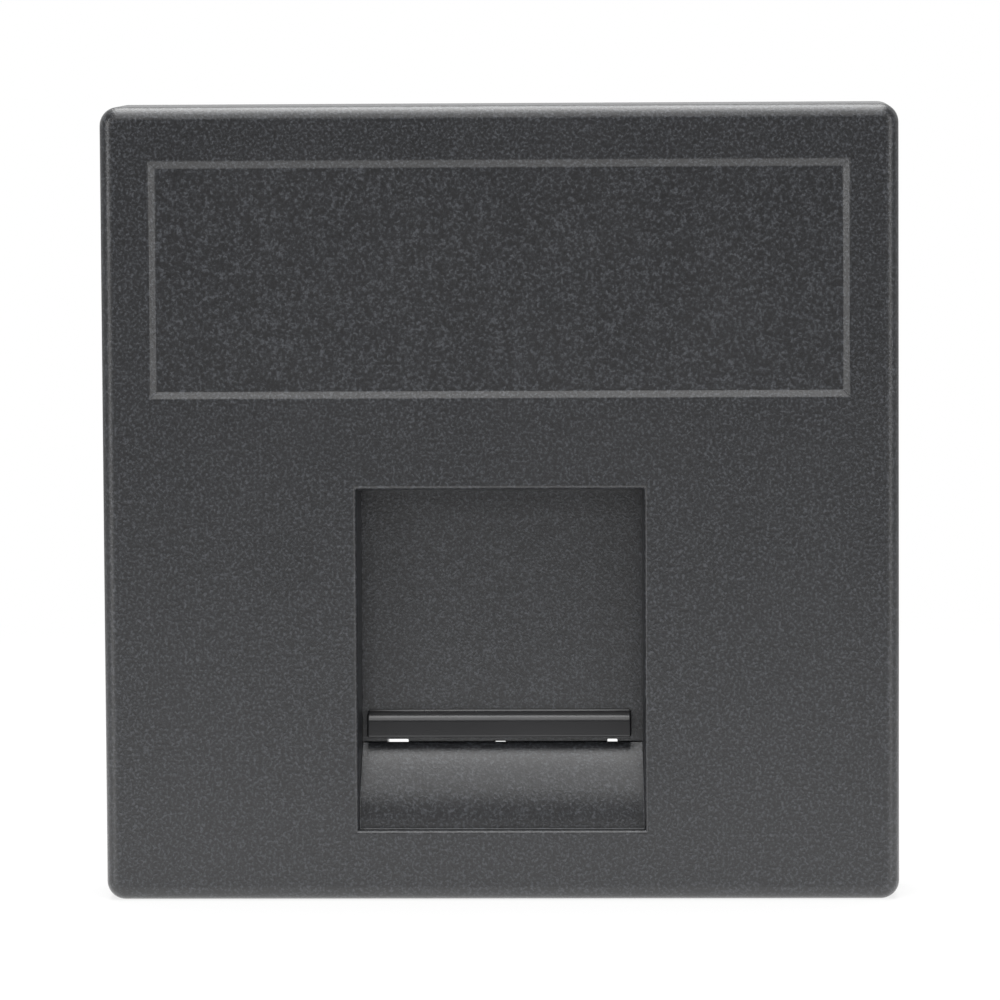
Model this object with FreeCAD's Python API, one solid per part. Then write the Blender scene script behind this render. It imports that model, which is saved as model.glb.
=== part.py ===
import FreeCAD, Part
import math
import os

# Keystone faceplate, one 45 x 45 mm module: a moulded front plate with a recessed label
# field and a plug window, a spring-returned dust shutter that slides up behind the window,
# and a carrier clipped in behind it that holds one keystone jack.
#
# Frame: +X right, +Z up, the front faces -Y. The origin is the centre of the plane that
# the rear rim of the plate seats on. Depths are given in mm behind the front face and
# turned into Y by at_depth().

# ---------------------------------------------------------------- front plate
MODULE = 45.0                 # side of the square module
PLATE_DEPTH = 7.5             # front face to rear rim
CORNER_RADIUS = 1.05          # plan corners
EDGE_RADIUS = 0.8             # round between face and skirt
FACE_WALL = 2.0
SKIRT_WALL = 1.8
INNER_CORNER_RADIUS = 0.6

LABEL_WIDTH = 38.7            # flat floor of the label field
LABEL_BOTTOM = 6.43
LABEL_TOP = 19.03
LABEL_DEPTH = 0.28
LABEL_LEAN = math.radians(62)  # angle between the floor of the field and its walls
LABEL_ROUND = 0.5             # convex round between those walls and the face

WINDOW_WIDTH = 16.4
WINDOW_TOP = 0.88
WINDOW_BOTTOM = -18.5
WINDOW_DRAFT = math.radians(5.6)
WINDOW_EDGE_RADIUS = 0.12
COLLAR_DEPTH = 2.5            # rear face of the collar, where the shutter runs
COLLAR_WALL = 1.1
RAMP_TOP = -13.78             # crest of the ramp, at the collar's rear face
RAMP_FOOT = 0.6               # depth at which the ramp meets the foot of the window
RAMP_RADIUS = 7.15            # the ramp is a convex part of a cylinder
RAMP_BACKING = 3.6            # rear face of the block behind the ramp
RAMP_BLOCK = 1.2

# ---------------------------------------------------------------- shutter
SHUTTER_WIDTH = 18.4
SHUTTER_FRONT = 2.65
SHUTTER_BACK = 4.8
SHUTTER_TOP = 2.0
SHUTTER_BOTTOM = -14.3
SHUTTER_CORNER = 0.6
LIP_CENTRE = -0.19            # finger lip that a nail pushes up, a little to the left
LIP_WIDTH = 15.03
LIP_FRONT = 1.1
LIP_BOTTOM = -13.3
LIP_TOP = -12.03
LIP_ROUND = 0.5
LIP_END_ROUND = 0.12
LIP_ROOT_RADIUS = 0.3
RELIEF_DEPTH = 1.2            # pocket in the rear face, so that the panel glides on a rim
RELIEF_RIM = 1.6
NOTCHES = ((-5.98, 1.2, -13.6), (-0.15, 0.65, -13.67), (6.23, 0.6, -13.61))
                              # vents in the lower edge: centre, width and top of each
TONGUE_FRONT = 3.65           # tongue that centres the spring
TONGUE_WIDTH = 1.3
TONGUE_HEIGHT = 2.2
TONGUE_CHAMFER = 0.3

# ---------------------------------------------------------------- guides on the plate
GUIDE_GAP = 0.2               # side clearance of the shutter
GUIDE_OVERLAP = 1.0           # how far a guide's step reaches in over the window's edge
GUIDE_WALL = 1.2
GUIDE_TOP = 15.0
GUIDE_BOTTOM = -16.4
STOP_WIDTH = 1.0              # feet that the closed shutter comes down on
STOP_GAP = 0.15
GLIDE_RIB = 0.8               # vertical ribs that the open shutter slides over
GLIDE_RIB_CENTRES = (2.05, 5.7)
GLIDE_RIB_TOP = 19.0
SIDE_RIB = 0.9                # low ribs from the guides to the skirt
SIDE_RIB_HEIGHT = 1.2
SIDE_RIB_CENTRES = (-13.6, 13.6)
PEG_CENTRE_X = 8.9            # pegs that locate the carrier, with the shoulder it sits on
PEG_CENTRE_Z = 17.6
PEG_RADIUS = 0.8
PEG_TIP = 6.7
PEG_CHAMFER = 0.25
SHOULDER_RADIUS = 1.6

# ---------------------------------------------------------------- snap hooks
HOOK_WALL = 1.1               # four hooks that hold the carrier's flange
HOOK_WIDTH = 4.0
HOOK_CENTRES = (-10.5, 9.5)
HOOK_GAP = 0.15
HOOK_OVERLAP = 0.45
HOOK_TIP = 1.1
HOOK_LAND = 0.3               # flat of the barb, before its lead-in slope
HOOK_NOSE = 0.2               # width that the slope takes off the hook's tip
CLIP_WALL = 1.5               # two spring clips that hold the plate in its mounting frame
CLIP_LENGTH = 12.0
CLIP_INSET = 2.6              # outer face of the clip, in from the side of the plate
CLIP_CATCH = 10.3             # depth of the catch face
CLIP_TIP = 12.6
CLIP_BARB = 0.9
CLIP_SLOPE = 1.9              # length of the lead-in that opens the clip
CLIP_CATCH_SLOPE = 0.15       # lean of the catch face, so that the clip pulls up tight
CLIP_TIP_CHAMFER = 0.3
GUSSET_WALL = 0.9
GUSSET_FOOT = 1.5
GUSSET_HEIGHT = 2.6
GUSSET_CENTRES = (-4.0, 4.0)
PRY_WIDTH = 5.0               # notch in the lower rim for a flat blade
PRY_HEIGHT = 1.1

# ---------------------------------------------------------------- keystone carrier
FLANGE_FRONT = 5.0
FLANGE_BACK = 6.2
FLANGE_HALF_WIDTH = 11.0
FLANGE_BOTTOM = -20.2
FLANGE_TOP = 20.3
FLANGE_CORNER = 1.0
PEG_HOLE_RADIUS = 0.9
PORT_WIDTH = 14.8             # standard keystone port
PORT_WALL = 1.3
JACK_BOTTOM = -15.05          # lower edge of the jack's face
JACK_TOP = 1.35
SILL_TOP = -14.0              # sharp sill in front of the jack's lower edge
LEDGE_BOTTOM = -16.25         # 19.4 mm between the two ledges that the jack grips
LEDGE_TOP = 3.15
LEDGE_FRONT = 14.4            # 8.2 mm behind the jack's face
LEDGE_BACK = 16.0
PORT_CORNER = 0.8
CATCH_WIDTH = 11.0            # cut-outs for the jack's lug and latch
CATCH_LENGTH = 3.6
WEB_WALL = 1.0                # webs between the port and the flange
WEB_CENTRES = (-15.2, -5.0, 2.0)
WEB_HEIGHT = 4.2

# ---------------------------------------------------------------- spring
SPRING_WIRE = 0.3
SPRING_AXIS = 4.225           # depth of the coil's axis, and of the tongue's middle
SPRING_MEAN_RADIUS = 1.15
SPRING_TURNS = 9
SPRING_SIDES = 6              # the wire's section is a polygon, to keep its facets few
SPRING_SEAT = 19.6            # fixed upper end
SPRING_END_GAP = 0.05
TUNNEL_CLEARANCE = 0.3
TUNNEL_WALL = 1.0
TUNNEL_BOTTOM = 1.9
SEAT_TAB_HALF_WIDTH = 1.5
SEAT_TAB_FRONT = 2.6
PILOT_RADIUS = 0.72
PILOT_LENGTH = 1.6

# ---------------------------------------------------------------- derived values
HALF = MODULE / 2
INNER_HALF = HALF - SKIRT_WALL
PAST = 1.0                    # how far a cutting tool runs past the face it opens
NEAR = 0.1                    # margin round an outline when its edges are picked
GUIDE_INNER = SHUTTER_WIDTH / 2 + GUIDE_GAP
GUIDE_OUTER = GUIDE_INNER + GUIDE_WALL
SPRING_OUTER_RADIUS = SPRING_MEAN_RADIUS + SPRING_WIRE / 2

X_AXIS = FreeCAD.Vector(1, 0, 0)
Y_AXIS = FreeCAD.Vector(0, 1, 0)
Z_AXIS = FreeCAD.Vector(0, 0, 1)
MID_PLANE = FreeCAD.Vector(0, 0, 0)


def at_depth(depth):
    """Y of a plane that lies this far behind the front face."""
    return depth - PLATE_DEPTH


def block(left, right, front, back, bottom, top):
    """Box between two X, two depths and two Z."""
    corner = FreeCAD.Vector(left, at_depth(front), bottom)
    return Part.makeBox(right - left, back - front, top - bottom, corner)


def edges_along(shape, axis):
    """Straight edges of a shape that run parallel to an axis."""
    found = []
    for edge in shape.Edges:
        if not isinstance(edge.Curve, Part.Line):
            continue
        if abs(abs(edge.Curve.Direction.dot(axis)) - 1) < 1e-6:
            found.append(edge)
    return found


def edges_at_depth(shape, depth, inside=None):
    """Edges that lie in one depth plane, and within (left, right, bottom, top) if given."""
    found = []
    level = at_depth(depth)
    for edge in shape.Edges:
        box = edge.BoundBox
        if abs(box.YMin - level) > 1e-4 or abs(box.YMax - level) > 1e-4:
            continue
        if inside is not None:
            left, right, bottom, top = inside
            if box.XMin < left or box.XMax > right or box.ZMin < bottom or box.ZMax > top:
                continue
        found.append(edge)
    return found


def rounded_block(left, right, front, back, bottom, top, radius):
    """Box whose four edges along Y are rounded."""
    solid = block(left, right, front, back, bottom, top)
    return solid.makeFillet(radius, edges_along(solid, Y_AXIS))


def swept_profile(points, direction, length, start):
    """Closed polygon moved to its start, then extruded along one direction."""
    corners = [start + point for point in points]
    face = Part.Face(Part.makePolygon(corners + corners[:1]))
    return face.extrude(direction * length)


def profile_along_x(points, left, right):
    """Polygon of (depth, z) points extruded from left to right."""
    corners = [FreeCAD.Vector(0, at_depth(depth), z) for depth, z in points]
    return swept_profile(corners, X_AXIS, right - left, X_AXIS * left)


def profile_along_z(points, bottom, top):
    """Polygon of (x, depth) points extruded from bottom to top."""
    corners = [FreeCAD.Vector(x, at_depth(depth), 0) for x, depth in points]
    return swept_profile(corners, Z_AXIS, top - bottom, Z_AXIS * bottom)


def rod_along_y(x, z, radius, front, back):
    """Round rod that runs back between two depths."""
    return Part.makeCylinder(radius, back - front, FreeCAD.Vector(x, at_depth(front), z), Y_AXIS)


def with_mirror(solid):
    """A solid and its mirror image on the other side of the middle."""
    return [solid, solid.mirror(MID_PLANE, X_AXIS)]


# ---------------------------------------------------------------- front plate

def label_void():
    """Space of the label field, whose four walls lean outwards from its floor."""
    half = LABEL_WIDTH / 2
    spread = (LABEL_DEPTH + PAST) / math.tan(LABEL_LEAN)
    plan = [(-half - spread, -PAST), (half + spread, -PAST), (half, LABEL_DEPTH),
            (-half, LABEL_DEPTH)]
    section = [(-PAST, LABEL_BOTTOM - spread), (LABEL_DEPTH, LABEL_BOTTOM),
               (LABEL_DEPTH, LABEL_TOP), (-PAST, LABEL_TOP + spread)]
    between_sides = profile_along_z(plan, -HALF, HALF)
    return between_sides.common(profile_along_x(section, -HALF, HALF))


def plate_body():
    """Rounded tray with the label field sunk into its face."""
    body = rounded_block(-HALF, HALF, 0, PLATE_DEPTH, -HALF, HALF, CORNER_RADIUS)
    body = body.makeFillet(EDGE_RADIUS, edges_at_depth(body, 0))
    cavity = rounded_block(-INNER_HALF, INNER_HALF, FACE_WALL, PLATE_DEPTH + PAST,
                           -INNER_HALF, INNER_HALF, INNER_CORNER_RADIUS)
    body = body.cut(cavity).cut(label_void())
    reach = LABEL_DEPTH / math.tan(LABEL_LEAN) + NEAR
    half = LABEL_WIDTH / 2 + reach
    field_edge = edges_at_depth(body, 0, (-half, half, LABEL_BOTTOM - reach, LABEL_TOP + reach))
    return body.makeFillet(LABEL_ROUND, field_edge)


def ramp_cylinder():
    """Cylinder whose front is the ramp, from the foot of the window up to the crest."""
    run = COLLAR_DEPTH - RAMP_FOOT
    rise = RAMP_TOP - WINDOW_BOTTOM
    chord = math.hypot(run, rise)
    set_back = math.sqrt(RAMP_RADIUS ** 2 - chord ** 2 / 4)
    depth = (RAMP_FOOT + COLLAR_DEPTH) / 2 + set_back * rise / chord
    height = (WINDOW_BOTTOM + RAMP_TOP) / 2 - set_back * run / chord
    centre = FreeCAD.Vector(-HALF, at_depth(depth), height)
    return Part.makeCylinder(RAMP_RADIUS, MODULE, centre, X_AXIS)


def ramp_block():
    """Material behind the ramp, up to the crest and clear of the closed shutter."""
    ledge = SHUTTER_BOTTOM - STOP_GAP
    section = [(EDGE_RADIUS, WINDOW_BOTTOM - COLLAR_WALL), (EDGE_RADIUS, RAMP_TOP),
               (COLLAR_DEPTH, RAMP_TOP), (COLLAR_DEPTH, ledge), (RAMP_BACKING, ledge),
               (RAMP_BACKING, ledge - RAMP_BLOCK), (FACE_WALL, WINDOW_BOTTOM - COLLAR_WALL)]
    return profile_along_x(section, -GUIDE_INNER, GUIDE_INNER)


def window_void():
    """Space of the plug window: drafted sides and top, closed below by the ramp."""
    half = WINDOW_WIDTH / 2
    draft = math.tan(WINDOW_DRAFT)
    back = COLLAR_DEPTH + PAST
    plan = [(-half - draft * PAST, -PAST), (half + draft * PAST, -PAST),
            (half - draft * back, back), (draft * back - half, back)]
    section = [(-PAST, WINDOW_BOTTOM), (COLLAR_DEPTH, WINDOW_BOTTOM),
               (COLLAR_DEPTH, RAMP_TOP), (back, RAMP_TOP), (back, WINDOW_TOP - draft * back),
               (-PAST, WINDOW_TOP + draft * PAST)]
    between_sides = profile_along_z(plan, -HALF, HALF)
    return between_sides.common(profile_along_x(section, -HALF, HALF)).cut(ramp_cylinder())


def shutter_guides():
    """Both stepped guides, the feet under the closed shutter and the glide ribs."""
    under_window = WINDOW_WIDTH / 2 - GUIDE_OVERLAP
    step = [(under_window, FACE_WALL), (GUIDE_OUTER, FACE_WALL), (GUIDE_OUTER, FLANGE_FRONT),
            (GUIDE_INNER, FLANGE_FRONT), (GUIDE_INNER, COLLAR_DEPTH),
            (under_window, COLLAR_DEPTH)]
    parts = with_mirror(profile_along_z(step, GUIDE_BOTTOM, GUIDE_TOP))
    parts += with_mirror(block(GUIDE_INNER - STOP_WIDTH, GUIDE_INNER, COLLAR_DEPTH,
                               FLANGE_FRONT, GUIDE_BOTTOM, SHUTTER_BOTTOM - STOP_GAP))
    for centre in GLIDE_RIB_CENTRES:
        parts += with_mirror(block(centre - GLIDE_RIB / 2, centre + GLIDE_RIB / 2, FACE_WALL,
                                   COLLAR_DEPTH, WINDOW_TOP, GLIDE_RIB_TOP))
    collar_top = block(-GUIDE_INNER, GUIDE_INNER, FACE_WALL, COLLAR_DEPTH,
                       WINDOW_TOP - COLLAR_WALL, WINDOW_TOP + COLLAR_WALL)
    parts.append(collar_top)
    return parts


def stiffening_ribs():
    """Low ribs that tie the guides to the skirt."""
    parts = []
    for centre in SIDE_RIB_CENTRES:
        parts += with_mirror(block(GUIDE_OUTER, INNER_HALF, FACE_WALL,
                                   FACE_WALL + SIDE_RIB_HEIGHT,
                                   centre - SIDE_RIB / 2, centre + SIDE_RIB / 2))
    return parts


def locating_pegs():
    """Shouldered pegs that the carrier drops over."""
    shoulder = rod_along_y(PEG_CENTRE_X, PEG_CENTRE_Z, SHOULDER_RADIUS, FACE_WALL, FLANGE_FRONT)
    peg = rod_along_y(PEG_CENTRE_X, PEG_CENTRE_Z, PEG_RADIUS, FACE_WALL, PEG_TIP)
    peg = peg.makeChamfer(PEG_CHAMFER, edges_at_depth(peg, PEG_TIP))
    return with_mirror(shoulder.fuse(peg))


def carrier_hooks():
    """Four hooks that snap over the side edges of the carrier's flange."""
    inner = FLANGE_HALF_WIDTH + HOOK_GAP
    outer = inner + HOOK_WALL
    barb = FLANGE_HALF_WIDTH - HOOK_OVERLAP
    catch = FLANGE_BACK + HOOK_GAP / 2
    tip = catch + HOOK_TIP
    section = [(inner, FACE_WALL), (outer, FACE_WALL), (outer, tip), (inner + HOOK_NOSE, tip),
               (barb, catch + HOOK_LAND), (barb, catch), (inner, catch)]
    parts = []
    for centre in HOOK_CENTRES:
        parts += with_mirror(profile_along_z(section, centre - HOOK_WIDTH / 2,
                                             centre + HOOK_WIDTH / 2))
    return parts


def frame_clips():
    """Two long spring clips that grip the mounting frame, each with its gussets."""
    outer = HALF - CLIP_INSET
    inner = outer - CLIP_WALL
    barb = outer + CLIP_BARB
    section = [(inner, FACE_WALL), (outer, FACE_WALL), (outer, CLIP_CATCH),
               (barb, CLIP_CATCH + CLIP_CATCH_SLOPE), (barb, CLIP_TIP - CLIP_SLOPE),
               (outer - CLIP_TIP_CHAMFER, CLIP_TIP), (inner + CLIP_TIP_CHAMFER, CLIP_TIP),
               (inner, CLIP_TIP - CLIP_TIP_CHAMFER)]
    parts = with_mirror(profile_along_z(section, -CLIP_LENGTH / 2, CLIP_LENGTH / 2))
    foot = [(inner, FACE_WALL), (inner, FACE_WALL + GUSSET_HEIGHT),
            (inner - GUSSET_FOOT, FACE_WALL)]
    for centre in GUSSET_CENTRES:
        parts += with_mirror(profile_along_z(foot, centre - GUSSET_WALL / 2,
                                             centre + GUSSET_WALL / 2))
    return parts


def front_plate():
    """The visible moulding with everything that stands on its back."""
    features = [ramp_block()] + shutter_guides() + stiffening_ribs() + locating_pegs()
    features += carrier_hooks() + frame_clips()
    plate = plate_body().multiFuse(features)
    plate = plate.cut(window_void())
    pry_notch = block(-PRY_WIDTH / 2, PRY_WIDTH / 2, PLATE_DEPTH - PRY_HEIGHT,
                      PLATE_DEPTH + PAST, -HALF - PAST, -INNER_HALF + PAST)
    plate = plate.cut(pry_notch).removeSplitter()
    half = WINDOW_WIDTH / 2 + NEAR
    window_edge = edges_at_depth(plate, 0, (-half, half, WINDOW_BOTTOM - NEAR,
                                            WINDOW_TOP + NEAR))
    return plate.makeFillet(WINDOW_EDGE_RADIUS, window_edge)


# ---------------------------------------------------------------- shutter

def finger_lip():
    """Ledge across the foot of the shutter, rounded in front and filleted at its root."""
    left = LIP_CENTRE - LIP_WIDTH / 2
    ledge = block(left, left + LIP_WIDTH, LIP_FRONT, SHUTTER_FRONT, LIP_BOTTOM, LIP_TOP)
    crown = [edge for edge in edges_at_depth(ledge, LIP_FRONT)
             if edge.BoundBox.ZMin > LIP_BOTTOM + LIP_ROUND]
    ledge = ledge.makeFillet(LIP_ROUND, crown)
    return ledge.makeFillet(LIP_END_ROUND, edges_at_depth(ledge, LIP_FRONT))


def lip_root():
    """Concave fillet between the top of the lip and the panel."""
    left = LIP_CENTRE - LIP_WIDTH / 2
    start = SHUTTER_FRONT - LIP_ROOT_RADIUS
    corner = block(left, left + LIP_WIDTH, start, SHUTTER_FRONT, LIP_TOP,
                   LIP_TOP + LIP_ROOT_RADIUS)
    centre = FreeCAD.Vector(left, at_depth(start), LIP_TOP + LIP_ROOT_RADIUS)
    return corner.cut(Part.makeCylinder(LIP_ROOT_RADIUS, LIP_WIDTH, centre, X_AXIS))


def shutter():
    """Sliding dust shutter: panel, lip, spring tongue, rear relief and vents."""
    half = SHUTTER_WIDTH / 2
    panel = rounded_block(-half, half, SHUTTER_FRONT, SHUTTER_BACK, SHUTTER_BOTTOM,
                          SHUTTER_TOP, SHUTTER_CORNER)
    tongue = block(-TONGUE_WIDTH / 2, TONGUE_WIDTH / 2, TONGUE_FRONT, SHUTTER_BACK,
                   SHUTTER_TOP - PAST, SHUTTER_TOP + TONGUE_HEIGHT)
    tip = [edge for edge in edges_along(tongue, Y_AXIS) if edge.BoundBox.ZMin > SHUTTER_TOP]
    tongue = tongue.makeChamfer(TONGUE_CHAMFER, tip)
    body = panel.multiFuse([tongue, finger_lip(), lip_root()])
    relief = rounded_block(-half + RELIEF_RIM, half - RELIEF_RIM, SHUTTER_BACK - RELIEF_DEPTH,
                           SHUTTER_BACK + PAST, SHUTTER_BOTTOM + RELIEF_RIM,
                           SHUTTER_TOP - RELIEF_RIM, SHUTTER_CORNER)
    body = body.cut(relief)
    for centre, width, top in NOTCHES:
        body = body.cut(block(centre - width / 2, centre + width / 2, SHUTTER_FRONT - PAST,
                              SHUTTER_BACK + PAST, SHUTTER_BOTTOM - PAST, top))
    return body.removeSplitter()


# ---------------------------------------------------------------- keystone carrier

def spring_tunnel(radius, bottom, top):
    """Round bar along the spring's axis, to add or to cut."""
    return Part.makeCylinder(radius, top - bottom,
                             FreeCAD.Vector(0, at_depth(SPRING_AXIS), bottom), Z_AXIS)


def port_webs():
    """Triangular webs that brace the port's sides on the flange."""
    side = PORT_WIDTH / 2 + PORT_WALL
    parts = []
    for centre in WEB_CENTRES:
        section = [(side, FLANGE_BACK), (FLANGE_HALF_WIDTH, FLANGE_BACK),
                   (side, FLANGE_BACK + WEB_HEIGHT)]
        parts += with_mirror(profile_along_z(section, centre - WEB_WALL / 2,
                                             centre + WEB_WALL / 2))
    return parts


def spring_seat():
    """Tab at the end of the tunnel with the pilot that centres the spring."""
    tab = block(-SEAT_TAB_HALF_WIDTH, SEAT_TAB_HALF_WIDTH, SEAT_TAB_FRONT, FLANGE_BACK,
                SPRING_SEAT, FLANGE_TOP)
    pilot = spring_tunnel(PILOT_RADIUS, SPRING_SEAT - PILOT_LENGTH, SPRING_SEAT)
    return tab.fuse(pilot)


def keystone_carrier():
    """Inner moulding: flange, keystone port with its two ledges, and spring tunnel."""
    flange = rounded_block(-FLANGE_HALF_WIDTH, FLANGE_HALF_WIDTH, FLANGE_FRONT, FLANGE_BACK,
                           FLANGE_BOTTOM, FLANGE_TOP, FLANGE_CORNER)
    half = PORT_WIDTH / 2
    port = rounded_block(-half - PORT_WALL, half + PORT_WALL, FLANGE_FRONT, LEDGE_BACK,
                         LEDGE_BOTTOM - PORT_WALL, LEDGE_TOP + PORT_WALL, PORT_CORNER)
    bulge = spring_tunnel(SPRING_OUTER_RADIUS + TUNNEL_CLEARANCE + TUNNEL_WALL,
                          LEDGE_TOP, FLANGE_TOP)
    behind_flange = block(-HALF, HALF, FLANGE_FRONT, LEDGE_BACK, FLANGE_BOTTOM, FLANGE_TOP)
    carrier = flange.multiFuse([port, bulge.common(behind_flange)] + port_webs())

    hollow = block(-half, half, FLANGE_BACK, LEDGE_BACK + PAST, LEDGE_BOTTOM, LEDGE_TOP)
    mouth = profile_along_x([(FLANGE_FRONT - PAST, SILL_TOP), (FLANGE_FRONT, SILL_TOP),
                             (FLANGE_BACK, JACK_BOTTOM), (FLANGE_BACK + PAST, JACK_BOTTOM),
                             (FLANGE_BACK + PAST, JACK_TOP), (FLANGE_FRONT - PAST, JACK_TOP)],
                            -half, half)
    catches = block(-CATCH_WIDTH / 2, CATCH_WIDTH / 2, LEDGE_FRONT - CATCH_LENGTH, LEDGE_FRONT,
                    FLANGE_BOTTOM, LEDGE_TOP + PORT_WALL + PAST)
    groove = spring_tunnel(SPRING_OUTER_RADIUS + TUNNEL_CLEARANCE, TUNNEL_BOTTOM, SPRING_SEAT)
    peg_hole = rod_along_y(PEG_CENTRE_X, PEG_CENTRE_Z, PEG_HOLE_RADIUS, FLANGE_FRONT - PAST,
                           FLANGE_BACK + PAST)
    for tool in [hollow, mouth, catches, groove] + with_mirror(peg_hole):
        carrier = carrier.cut(tool)
    return carrier.fuse(spring_seat()).removeSplitter()


# ---------------------------------------------------------------- spring

def shutter_spring():
    """Compression spring between the shutter's top edge and the seat in the carrier."""
    bottom = SHUTTER_TOP + SPRING_END_GAP + SPRING_WIRE / 2
    top = SPRING_SEAT - SPRING_END_GAP - SPRING_WIRE / 2
    height = top - bottom
    helix = Part.makeHelix(height / SPRING_TURNS, height, SPRING_MEAN_RADIUS)
    corners = []
    for side in range(SPRING_SIDES):
        turn = math.radians(360 * (side + 0.5) / SPRING_SIDES)
        corners.append(FreeCAD.Vector(SPRING_MEAN_RADIUS + SPRING_WIRE / 2 * math.cos(turn), 0,
                                      SPRING_WIRE / 2 * math.sin(turn)))
    section = Part.makePolygon(corners + corners[:1])
    coil = Part.Wire(helix).makePipeShell([section], True, True)
    coil.translate(FreeCAD.Vector(0, at_depth(SPRING_AXIS), bottom))
    return coil


def write(name, shape):
    """One STEP file for each node."""
    solid = shape.Solids[0]
    print(name, len(shape.Solids), shape.isValid(), round(solid.Volume, 2))
    solid.exportStep(os.path.join("parts", name + ".step"))


os.makedirs("parts", exist_ok=True)
write("front_plate", front_plate())
write("shutter", shutter())
write("keystone_carrier", keystone_carrier())
write("shutter_spring", shutter_spring())
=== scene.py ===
"""Dresses the shuttered keystone faceplate: its pieces, their finishes, studio and camera.

Sizes of the mouldings and the spring are in millimetres, and all other lengths in metres.
"""

import logging
import math
from dataclasses import dataclass, field
from enum import Enum
from typing import Any

import bmesh
import bpy
from bmesh.types import BMEdge, BMesh, BMFace, BMVert
from mathutils import Matrix, Vector

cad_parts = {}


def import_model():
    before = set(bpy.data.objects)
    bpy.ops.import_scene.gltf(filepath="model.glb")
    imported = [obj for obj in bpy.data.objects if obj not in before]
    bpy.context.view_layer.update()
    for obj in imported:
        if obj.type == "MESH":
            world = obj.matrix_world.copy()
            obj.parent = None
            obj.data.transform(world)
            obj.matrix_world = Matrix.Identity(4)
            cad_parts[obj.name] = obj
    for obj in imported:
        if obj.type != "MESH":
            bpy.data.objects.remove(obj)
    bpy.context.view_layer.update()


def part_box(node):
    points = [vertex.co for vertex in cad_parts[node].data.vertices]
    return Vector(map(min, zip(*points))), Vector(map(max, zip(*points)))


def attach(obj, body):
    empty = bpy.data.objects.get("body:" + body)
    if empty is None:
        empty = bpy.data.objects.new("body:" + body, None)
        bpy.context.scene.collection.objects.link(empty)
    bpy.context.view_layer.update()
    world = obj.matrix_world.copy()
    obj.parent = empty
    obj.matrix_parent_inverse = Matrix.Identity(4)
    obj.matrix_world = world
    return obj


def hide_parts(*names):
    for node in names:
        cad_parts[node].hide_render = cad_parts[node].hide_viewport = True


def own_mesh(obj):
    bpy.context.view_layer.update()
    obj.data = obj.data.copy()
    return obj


LOG = logging.getLogger("faceplate")

Pair = tuple[float, float]
Triple = tuple[float, float, float]
Quad = tuple[float, float, float, float]
Material = bpy.types.Material
Piece = bpy.types.Object
Socket = bpy.types.NodeSocket
Tree = bpy.types.NodeTree

MM = 0.001
# How far a cutting solid reaches past what it cuts, and how deep a welded one is sunk, in mm.
PAST = 1.0
SUNK = 0.3
# Places nearer to each other than this, in metres, are one place.
SAME = 1e-7
# The cosine between two directions above which they are one.
PARALLEL = 0.99999
# Angles between two faces: level below it, rounded above it, and shaded as sharp above it.
LEVEL = math.radians(0.2)
CREASE = math.radians(32)
SHARP = math.radians(50)
# That of ABS and polycarbonate.
PLASTIC_IOR = 1.58


class Body(Enum):
    """The bodies that a piece can ride on."""

    FACEPLATE = "faceplate"
    SHUTTER = "shutter"


class Slot(Enum):
    """The record's material slots that a piece can take its finish from."""

    TEXTURED = "textured_plastic"
    SHUTTER = "shutter_plastic"
    CARRIER = "carrier_plastic"
    STEEL = "spring_steel"


class Side(Enum):
    """Left or right of the middle, as seen from the front."""

    LEFT = -1.0
    RIGHT = 1.0


class Along(Enum):
    """The direction that an outline is drawn out in."""

    WIDTH = Vector((1.0, 0.0, 0.0))
    DEPTH = Vector((0.0, 1.0, 0.0))
    HEIGHT = Vector((0.0, 0.0, 1.0))


def linear(hex_colour: str) -> Quad:
    """Turns an sRGB hex colour into linear red, green, blue and alpha.

    Args:
        hex_colour: six hex digits after a hash sign, such as "#47474a".

    Returns:
        The linear colour with an alpha of 1.
    """
    channels = [int(hex_colour[i:i + 2], 16) / 255 for i in (1, 3, 5)]
    red, green, blue = (
        c / 12.92 if c <= 0.04045 else ((c + 0.055) / 1.055) ** 2.4 for c in channels
    )
    return red, green, blue, 1.0


def add_node(tree: Tree, kind: str, inputs: dict[Any, Any] | None = None,
             **settings: Any) -> bpy.types.Node:
    """Adds a node to a tree with its settings, values and links.

    Args:
        tree: the node tree of a material or of the world.
        kind: the node's type name.
        inputs: a value or an output socket to link, by input name or number.
        settings: the node's own attributes.

    Returns:
        The new node.
    """
    node = tree.nodes.new(kind)
    for name, value in settings.items():
        setattr(node, name, value)
    for key, value in (inputs or {}).items():
        if isinstance(value, Socket):
            tree.links.new(value, node.inputs[key])
        else:
            node.inputs[key].default_value = value
    return node


def new_material(name: str) -> tuple[Material, Tree, Socket]:
    """Starts a material on Object coordinates.

    Args:
        name: the finish's name in a maker's words.

    Returns:
        The material, its node tree and the socket that gives the coordinates.
    """
    material = bpy.data.materials.new(name)
    material.use_nodes = True
    tree = material.node_tree
    tree.nodes.clear()
    return material, tree, add_node(tree, "ShaderNodeTexCoord").outputs["Object"]


def close_tree(tree: Tree, colour: Socket, drift: Socket, gloss: Pair,
               more: dict[str, Any]) -> None:
    """Ends a finish's tree with its colour, a roughness that drifts, and what else it has.

    Args:
        tree: the material's node tree.
        colour: gives the colour.
        drift: gives where the roughness is between its limits, from 0 to 1.
        gloss: the two limits of the roughness.
        more: the shader's other inputs.
    """
    rough = add_node(tree, "ShaderNodeMapRange", {
        "Value": drift, "To Min": gloss[0], "To Max": gloss[1],
    })
    shader = add_node(tree, "ShaderNodeBsdfPrincipled", {
        "Base Color": colour, "Roughness": rough.outputs["Result"], **more,
    })
    add_node(tree, "ShaderNodeOutputMaterial", {"Surface": shader.outputs["BSDF"]})


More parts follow.
